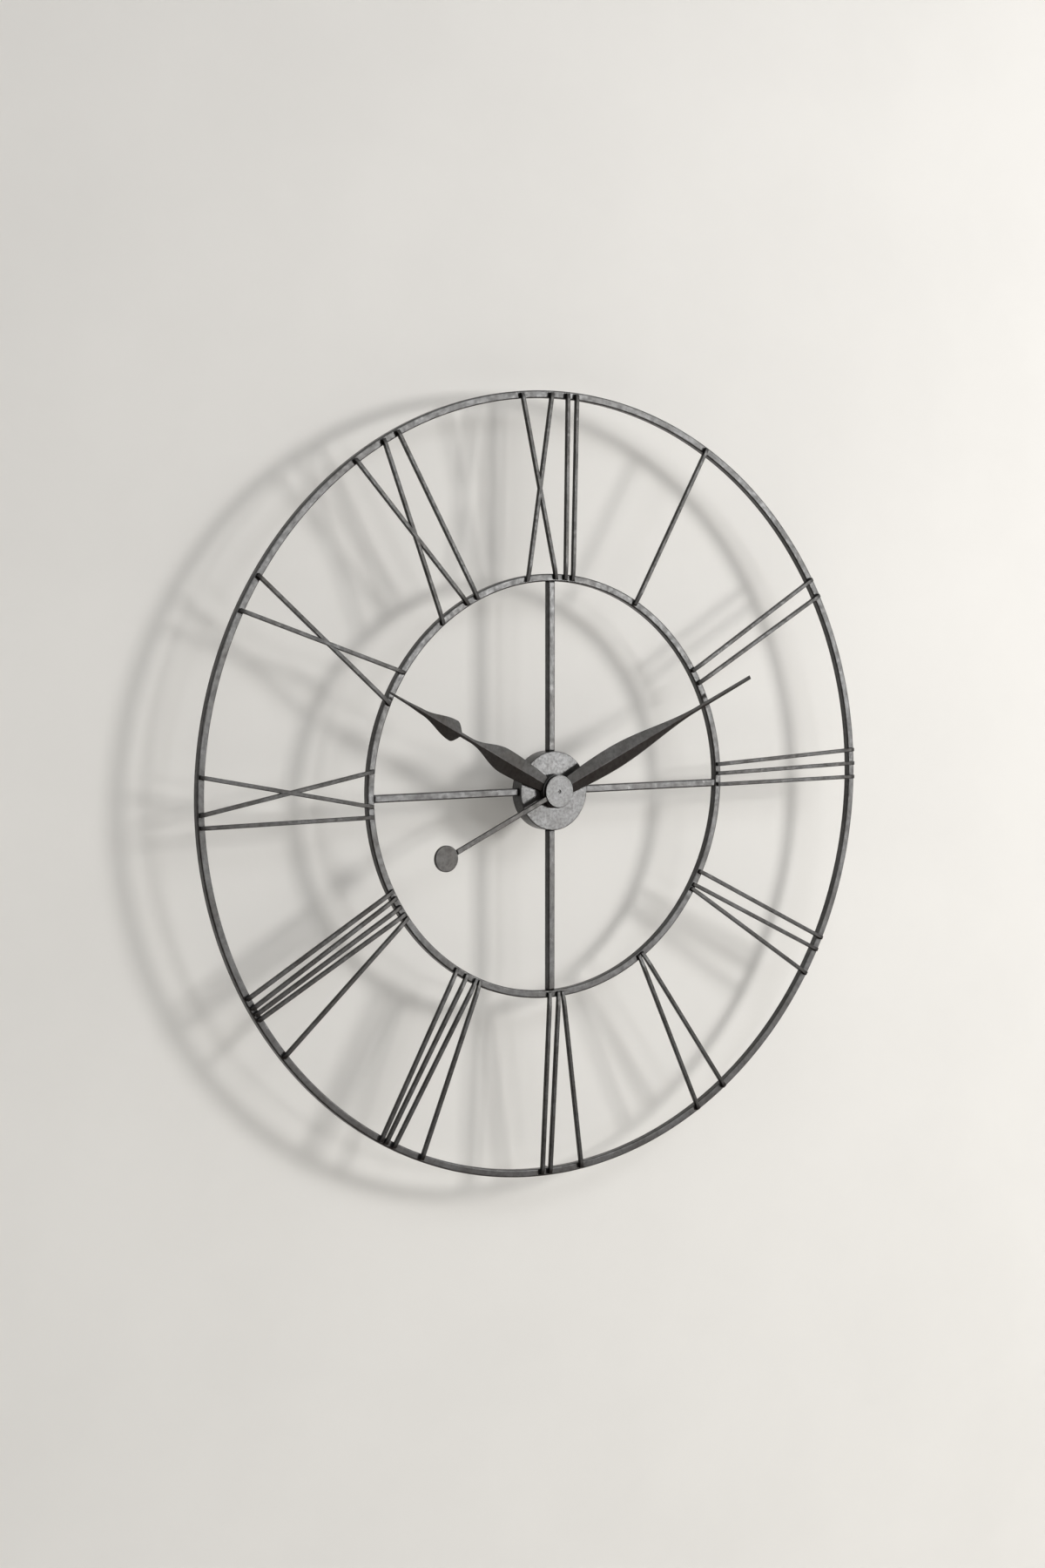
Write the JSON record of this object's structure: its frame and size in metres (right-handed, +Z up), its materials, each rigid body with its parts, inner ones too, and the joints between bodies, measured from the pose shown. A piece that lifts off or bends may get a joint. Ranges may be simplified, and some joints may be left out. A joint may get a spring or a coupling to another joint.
{
  "type": "wall clock",
  "caption": "Large open-frame wall clock of concentric iron rings, Roman numerals of thin rod, a round hub that holds a battery movement, and folded sheet hands",
  "frame": {"origin": "centre of the round entry of the keyhole in the hanger bar, on the plane of the wall; the hands' axis is 40 mm below it", "axes": "+Z up, +Y into the wall, so the dial faces -Y; +X to the viewer's right; the wall is y = 0"},
  "size_m": [1.2398, 0.0412, 1.2398],
  "materials": {
    "frame_iron": "satin, dark brown-grey patina with worn grey faces",
    "numeral_iron": "satin, dark brown-grey patina",
    "hub_iron": "satin, mottled grey patina",
    "hand_iron": "satin, dark brown-grey patina",
    "zinc_steel": "zinc plated",
    "black_rubber": "matte",
    "case_plastic": "matte",
    "wheel_plastic": "satin",
    "nut_brass": "turned",
    "wheel_brass": "stamped",
    "arbor_steel": "turned",
    "battery_wrap": "plain printed sleeve without a mark",
    "circuit_green": "solder mask",
    "coil_copper": "enamelled copper wire",
    "magnet_black": "sintered"
  },
  "bodies": {
    "clock_frame": {"outer_ring_top": "frame_iron", "outer_ring_right": "frame_iron", "outer_ring_bottom": "frame_iron", "outer_ring_left": "frame_iron", "inner_ring": "frame_iron", "crossbar_top": "frame_iron", "crossbar_right": "frame_iron", "crossbar_bottom": "frame_iron", "crossbar_left": "frame_iron", "numeral_1": "numeral_iron", "numeral_2": "numeral_iron", "numeral_3": "numeral_iron", "numeral_4": "numeral_iron", "numeral_5": "numeral_iron", "numeral_6": "numeral_iron", "numeral_7": "numeral_iron", "numeral_8": "numeral_iron", "numeral_9": "numeral_iron", "numeral_10": "numeral_iron", "numeral_11": "numeral_iron", "numeral_12": "numeral_iron", "hub_cup": "hub_iron", "hanger_bar": "zinc_steel", "wall_bumpers": "black_rubber", "movement_case": "case_plastic", "movement_cover": "case_plastic", "rubber_washer": "black_rubber", "steel_washer": "zinc_steel", "bushing_nut": "nut_brass", "battery": "battery_wrap", "contact_positive": "zinc_steel", "contact_negative": "zinc_steel", "circuit_board": "circuit_green", "quartz_crystal": "arbor_steel", "coil": "coil_copper", "stator": "arbor_steel", "train_plate": "wheel_plastic"},
    "minute": {"minute_hand": "hand_iron", "minute_hub": "hub_iron", "minute_tail": "hand_iron", "counterweight": "hand_iron", "minute_arbor": "arbor_steel", "centre_wheel": "wheel_brass"},
    "hour": {"hour_hand": "hand_iron", "hour_hub": "hub_iron", "hour_wheel": "wheel_plastic"},
    "motion": {"motion_wheel": "wheel_plastic"},
    "third": {"third_wheel": "wheel_plastic"},
    "rotor_spin": {"rotor": "wheel_plastic", "rotor_magnet": "magnet_black"},
    "knob": {"setting_knob": "case_plastic"}
  },
  "joints": [
    {"name": "minute_turn", "type": "hinge", "parent": "clock_frame", "child": "minute", "pos_m": [0, 0, -0.04], "axis": [0, 1, 0], "continuous": true},
    {"name": "hour_turn", "type": "hinge", "parent": "clock_frame", "child": "hour", "pos_m": [0, 0, -0.04], "axis": [0, 1, 0], "continuous": true},
    {"name": "motion_turn", "type": "hinge", "parent": "clock_frame", "child": "motion", "pos_m": [0.012, 0, -0.04], "axis": [0, 1, 0], "continuous": true},
    {"name": "third_turn", "type": "hinge", "parent": "clock_frame", "child": "third", "pos_m": [-0.00757, 0, -0.03243], "axis": [0, 1, 0], "continuous": true},
    {"name": "rotor_turn", "type": "hinge", "parent": "clock_frame", "child": "rotor_spin", "pos_m": [-0.01702, 0, -0.03243], "axis": [0, 1, 0], "continuous": true},
    {"name": "knob_turn", "type": "hinge", "parent": "clock_frame", "child": "knob", "pos_m": [0.018, 0, -0.02961], "axis": [0, 1, 0], "continuous": true}
  ],
  "couplings": [
    {"joint": "hour_turn", "follows": "minute_turn", "ratio": 0.083333},
    {"joint": "motion_turn", "follows": "minute_turn", "ratio": -0.33333},
    {"joint": "third_turn", "follows": "minute_turn", "ratio": -7.5},
    {"joint": "rotor_turn", "follows": "minute_turn", "ratio": 60},
    {"joint": "knob_turn", "follows": "minute_turn", "ratio": 1}
  ]
}
